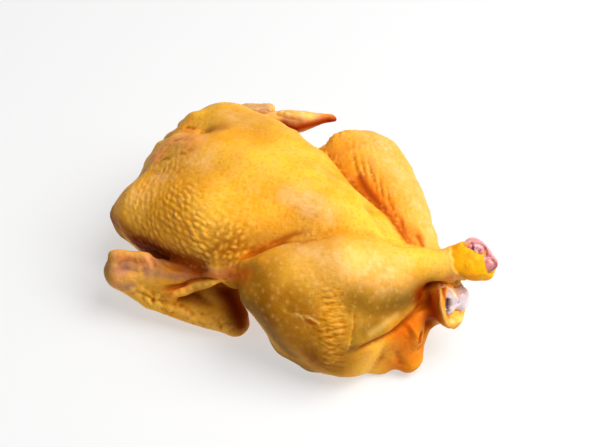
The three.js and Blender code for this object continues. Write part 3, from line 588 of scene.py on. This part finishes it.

# What lies under the skin colours it: orange fat on the rump, in the neck folds and where the legs meet the
# body, pink flesh and grey sinew in the wings, and dark meat in the thighs; rows marked below are wholly or
# partly painted shade or a painted highlight. Each row has the mark, its spots, its radius in millimetres
# and its strength.
for name, spots, radius, strength in [
    ("fat", [(97, -31, 38), (102, -24, 40), (101, -33, 27)], 19, 0.9),
    ("fat", [(105, -19, 17), (101, -38, 12)], 20, 0.7),
    ("blush", [(-113, -24, 76), (-106, -14, 83), (-96, -12, 90), (-86, -16, 94)], 18, 0.9),
    ("fat", [(-113, -24, 76), (-106, -14, 83), (-96, -12, 90), (-86, -16, 94)], 15, 0.55),
    ("fat", [(-112, 4, 79), (-103, 0, 84)], 11, 0.6),
    ("fat", [(-79, 8, 92), (-84, 6, 90)], 9, 0.5),
    ("fat", [(12, 45, 65), (25, 40, 67), (41, 31, 66), (58, 24, 64), (68, 22, 63)], 10, 0.8),
    ("fat", [(-8, -60, 65), (-3, -55, 70), (3, -50, 74)], 6, 0.5),
    ("fat", [(-11, -66, 58), (-5, -70, 60), (2, -72, 64)], 11, 0.85),
    ("fat", [(94, -1, 53), (105, -9, 52), (106, -14, 43), (111, -12, 34)], 18, 1.0),
    ("fat", [(-48, -92, 33), (-40, -85, 39)], 7, 0.6),
    ("fat", [(109, 0, 66), (114, 2, 68)], 6, 0.7),
    ("red_brown_and_painted_shade", [(98, -13, 58), (100, -10, 50), (105, -10, 50), (110, -13, 45), (106, -14, 38)], 13, 1.0),
    ("red_brown_and_painted_shade", [(112, -12, 38), (110, -13, 34)], 6, 0.7),
    ("red_brown_and_painted_shade", [(108, -2, 60), (112, -7, 54), (115, -9, 48), (118, -8, 43)], 2.6, 0.9),
    ("red_brown_and_painted_shade", [(116, -8, 42)], 2.4, 0.7),
    ("red_brown_and_painted_shade", [(120, 1, 38)], 2.2, 0.6),
    ("red_brown_and_painted_shade", [(-59, -96, 24)], 3, 0.6),
    ("red_brown_and_painted_shade", [(-35, -87, 17)], 3, 0.6),
    ("red_brown_and_painted_shade", [(-16, -81, 13)], 3, 0.6),
    ("red_brown_and_painted_shade", [(106, -22, 33), (107, -25, 28)], 3, 0.9),
    ("red_brown_and_painted_shade", [(51, -75, 56), (54, -74, 56), (57, -73, 55)], 1.8, 0.8),
    ("red_brown_and_painted_shade", [(9, 48, 66), (18, 42, 65), (30, 35, 66), (38, 32, 65), (48, 26, 66), (57, 22, 65),
              (68, 16, 64)], 5, 0.8),
    # Red-brown along the left wing's lower edge is painted shade.
    ("red_brown_and_painted_shade", [(-78, 77, 50), (-69, 79, 49), (-65, 85, 50), (-57, 95, 49), (-47, 102, 48)], 7, 1.0),
    ("red_brown_and_painted_shade", [(-72, 83, 53), (-66, 87, 52)], 5, 0.6),
    ("red_brown_and_painted_shade", [(-104, 74, 51), (-96, 77, 51)], 4, 0.6),
    ("flesh", [(-95, -99, 42), (-87, -106, 31), (-83, -101, 38), (-78, -94, 44), (-71, -87, 48)], 19, 1.0),
    ("flesh", [(-43, -80, 47), (-19, -68, 54)], 7, 0.4),
    ("flesh", [(107, 0, 65), (112, 2, 68), (116, 4, 66), (121, 8, 62)], 6, 0.9),
    ("flesh", [(123, 9, 69), (127, 11, 68)], 5, 0.7),
    ("cream", [(-112, 76, 53), (-97, 82, 54), (-82, 84, 53), (-67, 89, 53), (-54, 101, 51)], 18, 0.9),
    ("blush", [(50, -45, 84), (66, -36, 86), (84, -28, 78)], 26, 0.9),
    ("blush", [(25, -44, 81), (39, -43, 85)], 20, 0.8),
    ("blush", [(-79, 25, 91)], 24, 0.7),
    ("blush", [(-73, -25, 93)], 20, 0.6),
    ("blush", [(0, -17, 94), (12, -17, 91), (23, -15, 90)], 15, 0.9),
    ("blush", [(0, 85, 72), (46, 60, 71), (80, 38, 62)], 22, 0.7),
    ("blush", [(-98, -59, 71), (-91, -40, 80)], 18, 0.5),
    ("blush", [(-66, -84, 47), (-46, -77, 49), (-23, -69, 55), (-12, -63, 58)], 4, 0.9),
    ("grey", [(-66, -91, 43), (-58, -88, 44), (-46, -84, 45), (-38, -80, 46)], 6, 0.9),
    ("grey", [(-96, -104, 40), (-86, -99, 41), (-77, -94, 44)], 7, 0.9),
    ("grey", [(-80, -104, 29), (-75, -101, 33)], 5, 0.8),
    # The grey spot on the left wing's hand is a painted lilac highlight.
    ("grey", [(-77, 79, 52), (-70, 81, 52)], 5, 0.9),
    ("raw", [(-36, -77, 49), (-22, -71, 52), (-12, -66, 55)], 4.5, 0.6),
    ("raw", [(-88, -94, 46), (-80, -92, 47), (-73, -89, 47)], 4, 0.5),
    ("raw", [(-50, -90, 36), (-44, -86, 38), (-38, -82, 43)], 3, 0.6),
    ("fat", [(-57, 99, 50), (-50, 104, 50)], 8, 0.9),
    ("pale", [(-72, 87, 53), (-66, 92, 53)], 5, 0.6),
    ("raw", [(110, 1, 67), (115, 4, 66)], 3, 0.5),
    # Dark olive-brown on the right leg's lower and outer sides is partly dark meat under thin skin and
    # partly painted shade.
    ("dark", [(12, -76, 70), (33, -84, 52), (59, -80, 32), (71, -76, 32)], 32, 1.0),
    ("dark", [(36, -76, 66), (54, -73, 56), (66, -72, 48)], 24, 0.9),
    ("olive_and_painted_shade", [(-72, 86, 53), (-68, 84, 52)], 4, 0.6),
    ("olive_and_painted_shade", [(84, -55, 50), (88, -48, 50)], 18, 0.95),
    ("amber", [(60, -66, 62), (66, -68, 55), (68, -72, 46), (70, -74, 36)], 11, 0.3),
    ("olive_and_painted_shade", [(74, -50, 64), (84, -44, 58), (92, -29, 58), (96, -18, 60)], 21, 0.95),
    ("olive_and_painted_shade", [(-41, -82, 21), (-31, -78, 20), (-24, -80, 16)], 12, 0.15),
    # Olive on the top of the breast and on the middle of the right leg is painted shade.
    ("olive_and_painted_shade", [(-80, 24, 92), (-60, 30, 92)], 44, 0.3),
    ("olive_and_painted_shade", [(-75, -10, 96), (-60, -22, 95)], 32, 0.15),
    ("olive_and_painted_shade", [(20, -62, 78), (34, -50, 84), (50, -60, 76)], 34, 0.22),
    ("red_brown_and_painted_shade", [(97, -31, 38), (101, -33, 27), (101, -38, 14)], 18, 0.22),
    # Painted shade under the right wing's upper arm, where it meets the leg.
    ("dark", [(-12, -64, 44), (-6, -68, 46), (-2, -72, 52)], 13, 0.8),
    ("raw", [(-5, 82, 72), (46, 60, 71), (80, 38, 62)], 34, 0.22),
    ("grey", [(-112, 76, 53), (-104, 82, 54), (-97, 82, 54)], 8, 0.6),
    # Painted shade where the skin turns under: the right leg's front and lower limbs, the right wing's
    # wrist, the breast's underside and the neck's pit.
    ("painted_shade", [(-3, -73, 50), (8, -83, 52), (20, -86, 46), (30, -85, 32), (40, -83, 20)], 15, 0.8),
    ("painted_shade", [(7, -75, 28), (13, -74, 20), (23, -73, 12), (36, -73, 8), (52, -72, 8)], 18, 0.8),
    ("painted_shade", [(-99, -99, 39), (-94, -105, 33)], 12, 0.5),
    ("painted_shade", [(-120, -66, 46), (-119, -65, 39), (-116, -65, 34), (-112, -66, 31)], 11, 0.8),
    ("painted_shade", [(-79, 8, 92), (-84, 6, 90)], 10, 0.25),
    # Painted shade on the right leg's front corner and along its crease with the breast.
    ("dark", [(2, -72, 64), (8, -76, 66), (18, -80, 64)], 18, 0.9),
    ("dark", [(-18, -63, 69), (-7, -56, 70), (0, -50, 74), (12, -38, 80)], 24, 0.6),
    # These grain marks carry only the painted highlight on the crests of the thigh's wrinkles and the right
    # wing's lumps.
    ("grain", [(62, -64, 63), (67, -67, 56), (70, -72, 46), (71, -75, 34)], 13, 1.0),
    ("grain", [(-72, -100, 28), (-50, -93, 22), (-30, -86, 16), (-12, -80, 12)], 10, 1.0),
    ("grain", [(-45, -91, 34), (-37, -84, 39), (-28, -78, 44), (-19, -72, 48)], 4, 1.0),
    ("pale", [(86, -53, 47), (89, -43, 48), (92, -33, 50)], 4, 0.4),
    ("pale", [(103, 1, 57), (109, -6, 57), (113, -11, 53), (117, -13, 46), (119, -11, 39)], 1.6, 0.8),
    ("pale", [(118, -8, 38), (121, -3, 37), (120, 4, 34)], 5, 0.9),
    ("pale", [(45, -76, 59), (47, -75, 58), (49, -75, 56)], 1.3, 0.8),
    ("pale", [(51, -73, 58), (55, -72, 57), (59, -72, 56)], 1.3, 0.8),
    ("pale", [(112, -8, 33), (113, -6, 26)], 7, 0.8),
]:
    hide.stain(name, spots, radius, strength)
# The smooth skin behind the feathered thigh is olive right from the edge.
OLIVE_REACH = 24
points, distance, side, share, alike = hide.near(THIGH_EDGE, OLIVE_REACH)
behind = (np.clip(side * distance / 0.5 + wander(hide.places[points], 3.0, 27), 0, 1)
          * np.clip(1 - distance / OLIVE_REACH, 0, 1))
behind *= np.clip(np.minimum(share, 1 - share) / 0.12, 0, 1) * np.clip(alike, 0, 1)
hide.mark("olive_and_painted_shade")[points] = np.maximum(hide.mark("olive_and_painted_shade")[points], behind)
# Deep brown is painted shade in the gaps where the wing, the leg and the hock's sleeve press on the body, on
# both faces, and under the breast's right side.
for spots, radius, strength in [
    ([(98, -14, 58), (99, -12, 52)], 8, 0.7),
    ([(-92, -74, 40), (-56, -75, 45), (-37, -73, 50)], 17, 1.0),
    ([(-90, -75, 46), (-70, -75, 48), (-52, -75, 51)], 12, 1.0),
    ([(-120, -66, 46), (-110, -72, 44), (-98, -75, 45)], 11, 0.8),
    ([(-111, -72, 50), (-104, -75, 51), (-96, -77, 51)], 9, 0.7),
    ([(-34, -74, 34), (-26, -66, 31), (-14, -62, 30), (-4, -68, 38)], 9, 1.0),
    ([(-24, -62, 23), (-14, -66, 20), (-5, -72, 15)], 14, 1.0),
]:
    hide.stain("painted_deep_shade", spots, radius, strength, back=True)
# The painted hollow shade is weakened by seven tenths on the wing's pink flesh.
hide.mark("painted_hollow_shade")[:] *= 1 - 0.7 * hide.mark("flesh")

hide.keep()
thin = skin.modifiers.new("thin", "DECIMATE")
thin.ratio = min(1.0, SKIN_TRIANGLES / (2 * len(skin.data.polygons)))
bpy.ops.object.modifier_apply(modifier=thin.name)
bpy.ops.object.shade_smooth()


def tone(red, green, blue):
    """A colour given as it is seen, 0 to 255, as the light that Blender reckons with."""
    seen = [c / 255 for c in (red, green, blue)]
    return [c / 12.92 if c < 0.04045 else ((c + 0.055) / 1.055) ** 2.4 for c in seen] + [1.0]


class Value:
    """A number or colour that changes over a surface. Sums and products of values add Math nodes."""

    def __init__(self, finish, socket):
        self.finish = finish
        self.socket = socket

    def maths(self, operation, first, second):
        return self.finish.node("ShaderNodeMath", {"operation": operation}, {0: first, 1: second})

    def __add__(self, other):
        return self.maths("ADD", self, other)

    def __radd__(self, other):
        return self.maths("ADD", other, self)

    def __mul__(self, other):
        return self.maths("MULTIPLY", self, other)

    def __rmul__(self, other):
        return self.maths("MULTIPLY", other, self)


class Finish:
    """A material in the making: each call adds one node and gives back what comes out of it."""

    def __init__(self, name):
        self.material = bpy.data.materials.new(name)
        self.material.use_nodes = True
        self.tree = self.material.node_tree
        self.tree.nodes.clear()
        self.place = self.node("ShaderNodeTexCoord", {}, {}, "Object")

    def node(self, kind, settings, inputs, output=0):
        added = self.tree.nodes.new(kind)
        for name, setting in settings.items():
            setattr(added, name, setting)
        for name, value in inputs.items():
            if isinstance(value, Value):
                self.tree.links.new(value.socket, added.inputs[name])
            else:
                added.inputs[name].default_value = value
        return Value(self, added.outputs[output])

    def noise(self, size, detail=3.0, roughness=0.5, stretch=(1.0, 1.0, 1.0), turn=(0.0, 0.0, 0.0)):
        """Cloudy noise from 0 to 1, with clouds of that size in millimetres."""
        spot = self.node("ShaderNodeMapping", {"vector_type": "TEXTURE"},
                         {"Vector": self.place, "Rotation": turn, "Scale": stretch})
        scale = 1.0 / (size * MM)
        return self.node("ShaderNodeTexNoise", {},
                         {"Vector": spot, "Scale": scale, "Detail": detail, "Roughness": roughness})

    def ramp(self, value, low, high):
        """0 below low, 1 above high, and smooth between."""
        return self.node("ShaderNodeMapRange", {"interpolation_type": "SMOOTHSTEP"},
                         {"Value": value, "From Min": low, "From Max": high})

    def mask(self, name):
        """The amount of one of the marks that the mesh carries."""
        return self.node("ShaderNodeAttribute", {"attribute_name": name}, {}, "Fac")

    def blend(self, share, first, second):
        """The first colour where the share is 0 and the second where it is 1."""
        return self.node("ShaderNodeMix", {"data_type": "RGBA"}, {0: share, 6: first, 7: second}, 2)

    def bump(self, height, distance):
        """A relief too fine for the mesh, at most that many millimetres high."""
        return self.node("ShaderNodeBump", {}, {"Height": height, "Distance": distance * MM})

    def surface(self, inputs):
        """The finished material, from the values and links of its shader's sockets."""
        shader = self.node("ShaderNodeBsdfPrincipled", {}, inputs)
        output = self.tree.nodes.new("ShaderNodeOutputMaterial")
        self.tree.links.new(shader.socket, output.inputs["Surface"])
        return self.material


def skin_finish():
    """Yellow skin whose colour turns with what lies under it, with a moist gloss on its goose flesh, painted
    shade in its hollows and where it turns under, and painted highlights on its pores and grains.
    """
    look = Finish("wet_yellow_skin")
    clouds = look.ramp(look.noise(30.0), 0.38, 0.62)
    mottle = look.ramp(look.noise(8.0, detail=4.0), 0.42, 0.66)
    specks = look.ramp(look.noise(2.4), 0.48, 0.68)
    grain = look.noise(1.3, roughness=0.6)
    fibres = look.noise(1.0, detail=2.0, stretch=(9.0, 1.6, 1.0), turn=(0.0, 0.0, 0.6))
    peel = look.noise(2.2, detail=2.0, roughness=0.4)
    colour = look.blend(clouds, tone(236, 169, 48), tone(246, 189, 70))
    colour = look.blend(mottle * 0.4, colour, tone(240, 180, 92))
    colour = look.blend(specks * 0.35, colour, tone(222, 142, 18))
    colour = look.blend(look.mask("blush") * (0.45 + 0.55 * mottle), colour, tone(254, 204, 134))
    colour = look.blend(look.mask("flesh") * (0.5 + 0.5 * mottle), colour, tone(234, 164, 112))
    colour = look.blend(look.mask("cream") * (0.5 + 0.5 * mottle), colour, tone(232, 196, 140))
    colour = look.blend(look.mask("grey") * (0.5 + 0.5 * mottle), colour, tone(178, 128, 106))
    # Dark olive-brown, partly dark meat and partly painted shade.
    colour = look.blend(look.mask("dark") * (0.7 + 0.3 * clouds), colour, tone(156, 96, 0))
    # Painted shade where the skin turns under.
    colour = look.blend(look.mask("painted_shade"), colour, tone(112, 74, 0))
    colour = look.blend(look.mask("fat") * (0.65 + 0.35 * mottle), colour, tone(234, 118, 4))
    bare_fat = look.blend(mottle, tone(250, 178, 18), tone(238, 150, 14))
    colour = look.blend(look.mask("amber"), colour, bare_fat)
    # Olive is partly the skin's own colour over dark meat and partly painted shade.
    colour = look.blend(look.mask("olive_and_painted_shade"), colour, tone(143, 105, 30))
    colour = look.blend(look.mask("raw"), colour, tone(238, 122, 78))
    # Red-brown: the own colour of the sleeve, the vent and small spots, and painted shade on the left wing's
    # lower edge.
    colour = look.blend(look.mask("red_brown_and_painted_shade"), colour, tone(160, 56, 4))
    # Painted shade, deep brown, in the gaps between parts.
    colour = look.blend(look.mask("painted_deep_shade"), colour, tone(138, 50, 0))
    # Painted shade in the hollows.
    colour = look.blend(look.mask("painted_hollow_shade") * 0.7, colour, tone(170, 84, 2))
    colour = look.blend(look.mask("pale") * 0.8, colour, tone(250, 208, 122))
    # The pale pores are partly the follicles' own colour and partly a painted highlight.
    colour = look.blend(look.mask("pore_and_painted_highlight") * 0.45, colour, tone(250, 204, 116))
    # A painted highlight on the crests of the grains.
    colour = look.blend(look.mask("grain") * look.mask("painted_crest_highlight") * 0.35, colour, tone(252, 204, 108))
    fine = look.bump(peel * 0.5 + grain * 0.3 + fibres * 0.2, 0.5)
    return look.surface({
        "Base Color": colour,
        "Roughness": 0.4 + 0.2 * grain,
        "Normal": fine,
        "Subsurface Weight": 0.12,
        "Subsurface Radius": (1.0, 0.42, 0.12),
        "Subsurface Scale": 2.0 * MM,
        "IOR": 1.42,
        "Specular IOR Level": 0.14,
        "Specular Tint": tone(255, 226, 150),
        "Coat Weight": 0.03,
        "Coat Roughness": 0.2,
    })


skin.data.materials.append(skin_finish())
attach(skin, "root")
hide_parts("carcass")


# The left hock was cut square through the joint: two white heads of gristle stand side by side in the sleeve
# of skin, with a groove between them and a hollow before the nearer one, both darkened with painted shade.
# They are moist and glossy.
GRISTLE_VOXEL = 0.5 * MM


def gristle_finish(name, plain, deep, dark):
    """Wet gristle: with painted shade in its hollows, dark where it was torn or where shade is painted in a
    recess, and yellow where fat clings to it.
    """
    look = Finish(name)
    cloud = look.ramp(look.noise(3.0), 0.4, 0.65)
    colour = look.blend(cloud * 0.4, plain, deep)
    colour = look.blend(look.mask("painted_hollow_shade"), colour, deep)
    colour = look.blend(look.mask("raw"), colour, dark)
    colour = look.blend(look.mask("fat"), colour, look.blend(cloud, tone(244, 172, 30), tone(236, 150, 40)))
    return look.surface({
        "Base Color": colour,
        "Roughness": 0.26 + 0.15 * cloud,
        "Normal": look.bump(look.noise(0.8, detail=2.0), 0.1),
        "Subsurface Weight": 0.2,
        "Subsurface Radius": (1.0, 0.6, 0.5),
        "Subsurface Scale": 2.0 * MM,
        "Coat Weight": 0.3,
        "Coat Roughness": 0.12,
    })


def gristle(node, name, swell, sculpt, finish):
    """A gristle piece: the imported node's shape made smooth, swollen, sculpted, and put in its place."""
    piece = piece_from(node, name, GRISTLE_VOXEL, cuts=3, rounds=6)
    body = Surface(piece)
    body.mark("raw")
    body.mark("fat")
    body.places += body.normals * swell
    sculpt(body)
    body.write()
    body.read()
    # Painted shade in the piece's hollows.
    body.mark("painted_hollow_shade")[:] = np.maximum(body.mark("painted_hollow_shade"), np.clip(body.depth(20) / 0.5, 0, 1))
    body.keep()
    bpy.ops.object.shade_smooth()
    piece.data.materials.append(finish)
    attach(piece, "root")
    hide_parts(node)
    return piece


def sculpt_left(body):
    """The near head is a crescent with a hollow before it, darkened with painted shade, and the far head is
    an oval.
    """
    body.shift([(110, -3, 55), (113, -6, 49)], 8, camera_right * -1.6)
    # Painted shade darkens the hollow before the near head and the groove between the heads.
    body.stain("raw", [(113, -5, 52), (115, -6, 48)], 3.4, 1.0)
    body.stain("raw", [(117, 5, 54), (120, 3, 48)], 1.6, 0.4)
    body.stain("fat", [(107, 1, 64), (112, 3, 66), (116, 5, 64), (121, 9, 60)], 5.5, 1.0)
    body.fold([(112, -4, 54), (114, -5, 50), (116, -6, 47)], -3.2, 2.2)
    body.fold([(109, 1, 59), (113, 2, 56), (116, 1, 53), (117, -1, 48)], 1.0, 2.2)
    body.fold([(113, 6, 59), (117, 5, 54), (120, 3, 49), (120, 1, 45)], -2.2, 1.4)
    body.fold([(117, 9, 52), (120, 8, 47)], 0.8, 3.6)


white_look = gristle_finish("wet_white_gristle", tone(234, 218, 218), tone(186, 168, 200), tone(84, 40, 26))
white = gristle("left_hock_joint", "white_gristle_heads", 0.6, sculpt_left, white_look)


# The right hock was pulled apart: two pink lobes of gristle stand out of the knob of fat, with a torn red
# rim and fat in the groove between them. They are as moist and glossy as the white ones.


def sculpt_right(body):
    """Each lobe is flat on top with a sharp red rim, and fat fills the groove between them."""
    body.stain("raw", [(119, 22, 84), (121, 23, 83)], 2.6, 1.0)
    body.stain("raw", [(114, 28, 86), (120, 28, 84), (125, 27, 80)], 2.6, 1.0)
    body.stain("raw", [(131, 23, 77), (132, 22, 73), (130, 18, 70)], 2.4, 0.9)
    body.stain("fat", [(121, 20, 81), (125, 21, 80), (126, 25, 81)], 2.2, 0.9)
    body.stain("fat", [(110, 16, 84), (118, 15, 81), (124, 14, 77), (129, 14, 71)], 5.0, 1.0)
    body.stain("fat", [(106, 24, 86), (108, 18, 85), (110, 21, 85)], 6.0, 1.0)
    # Painted shade darkens the groove between the lobes.
    body.stain("painted_hollow_shade", [(115, 21, 85), (120, 21, 82)], 4.5, 1.0)
    body.fold([(116, 20, 86), (118, 22, 85)], -1.6, 4.0)
    body.fold([(114, 26, 87), (120, 27, 85), (124, 26, 81)], 1.0, 1.4)
    body.shift([(106, 24, 86), (108, 18, 85), (112, 27, 87)], 11, camera_up * -3.6)
    body.fold([(122, 20, 80), (125, 23, 80), (127, 26, 79), (127, 28, 77)], -3.0, 1.8, 1.8, 0.15)
    body.shift([(132, 23, 75)], 7, camera_right * 2.4 - camera_up * 0.4)
    body.fold([(128, 20, 79), (131, 22, 77), (132, 22, 73)], 0.9, 1.6)
    body.wrinkle([(124, 22, 80)], 20, 0.35, 3.0, (0, 0, 1), 1.5, 31)
    body.places += np.array(camera_right * -2.6)  # the lobes sit a little further in on the knob


pink_look = gristle_finish("wet_pink_gristle", tone(232, 160, 154), tone(152, 84, 116), tone(124, 24, 20))
pink = gristle("right_hock_joint", "pink_gristle_lobes", 0.4, sculpt_right, pink_look)


# The bird lies on a plain pale table under one large soft lamp above its far side, with a weaker one at
# the near side and even light all round.
TABLE_SIZE = 8.0
TABLE_GAP = 0.2 * MM
bpy.ops.mesh.primitive_plane_add(size=TABLE_SIZE, location=(0.0, 0.0, -TABLE_GAP))
table_top = bpy.context.object
table_top.name = "table_top"
table_look = Finish("pale_table")
table_top.data.materials.append(table_look.surface({
    "Base Color": tone(150, 150, 150),
    "Roughness": 0.9,
    "Emission Color": tone(255, 255, 255),
    "Emission Strength": 0.57,
}))


def soft_lamp(name, direction, distance, size, power):
    """A square lamp that shines at the bird from a direction."""
    direction = Vector(direction).normalized()
    bpy.ops.object.light_add(type="AREA", location=CAMERA_TARGET + direction * distance)
    lamp = bpy.context.object
    lamp.name = name
    lamp.rotation_euler = direction.to_track_quat("Z", "Y").to_euler()
    lamp.data.shape = "SQUARE"
    lamp.data.size = size
    lamp.data.energy = power


soft_lamp("lamp_over_far_side", (0.48, 0.25, 0.84), distance=1.6, size=1.4, power=44.5)
soft_lamp("lamp_at_near_side", (-0.3, -0.8, 0.6), distance=2.0, size=1.4, power=2.0)
world = bpy.data.worlds.new("even_light")
bpy.context.scene.world = world
world.use_nodes = True
sky = world.node_tree.nodes["Background"]
sky.inputs["Color"].default_value = (1.0, 1.0, 1.0, 1.0)
sky.inputs["Strength"].default_value = 0.19
bpy.context.scene.view_settings.view_transform = "Standard"
bpy.context.scene.view_settings.gamma = 0.88
